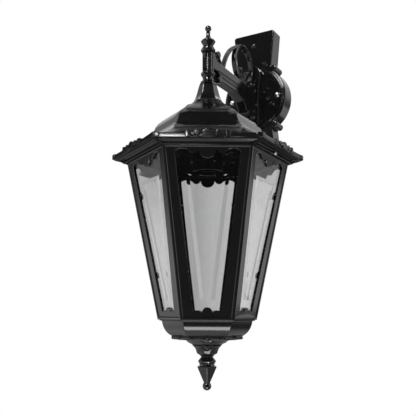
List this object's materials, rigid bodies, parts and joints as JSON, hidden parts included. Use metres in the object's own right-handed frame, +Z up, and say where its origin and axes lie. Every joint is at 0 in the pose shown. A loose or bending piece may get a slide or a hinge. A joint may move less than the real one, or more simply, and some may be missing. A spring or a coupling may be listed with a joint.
{
  "type": "coach light",
  "caption": "Six-sided black wall lantern with bevelled clear panes, hung from a scrolled arm on a wall plate, whose glazed cage swings down on a hinge.",
  "frame": {"origin": "on the wall plane, behind the centre of the wall plate's disc and midway between the wall fixing holes", "axes": "+Z up, +Y into the wall, the lantern hangs towards -Y, +X to the right of someone facing the wall"},
  "size_m": [0.2068, 0.2756, 0.4971],
  "materials": {
    "black_paint": "gloss black paint on cast aluminium, faint orange peel",
    "bright_steel": "zinc plated steel",
    "clear_glass": "clear bevelled glass",
    "brass": "plain brass",
    "white_plastic": "moulded white plastic",
    "black_plastic": "moulded black thermoset",
    "porcelain": "glazed porcelain"
  },
  "bodies": {
    "bracket": {"wall_plate": "black_paint", "tail_screws": "black_paint", "bracket_arm": "black_paint", "top_finial": "black_paint", "neck_collar": "black_paint", "crown": "black_paint", "roof": "black_paint", "hinge_roof_leaf": "black_paint", "mounting_bracket": "bright_steel", "side_screws": "bright_steel", "arm_screws": "bright_steel", "hanger_tube": "bright_steel", "roof_washer": "bright_steel", "roof_nut": "bright_steel", "hinge_pin": "bright_steel", "roof_leaf_rivets": "bright_steel", "closure_screw": "bright_steel", "earth_screw": "brass", "terminal_screws": "brass", "lampholder_contacts": "brass", "terminal_block": "white_plastic", "lampholder_cap": "black_plastic", "lampholder_shell": "black_plastic", "lampholder_insert": "porcelain"},
    "cage": {"side_frame_1": "black_paint", "side_frame_2": "black_paint", "side_frame_3": "black_paint", "side_frame_4": "black_paint", "side_frame_5": "black_paint", "side_frame_6": "black_paint", "glass_pane_1": "clear_glass", "glass_pane_2": "clear_glass", "glass_pane_3": "clear_glass", "glass_pane_4": "clear_glass", "glass_pane_5": "clear_glass", "glass_pane_6": "clear_glass", "glass_clips": "bright_steel", "bottom_cup": "black_paint", "cup_screws": "bright_steel", "bottom_finial": "black_paint", "hinge_cage_leaf": "black_paint", "cage_leaf_rivets": "bright_steel"}
  },
  "joints": [
    {"name": "cage_hinge", "type": "hinge", "parent": "bracket", "child": "cage", "pos_m": [-0.09302, -0.1575, -0.1302], "axis": [0, 1, 0], "range_deg": [0, 80]}
  ]
}
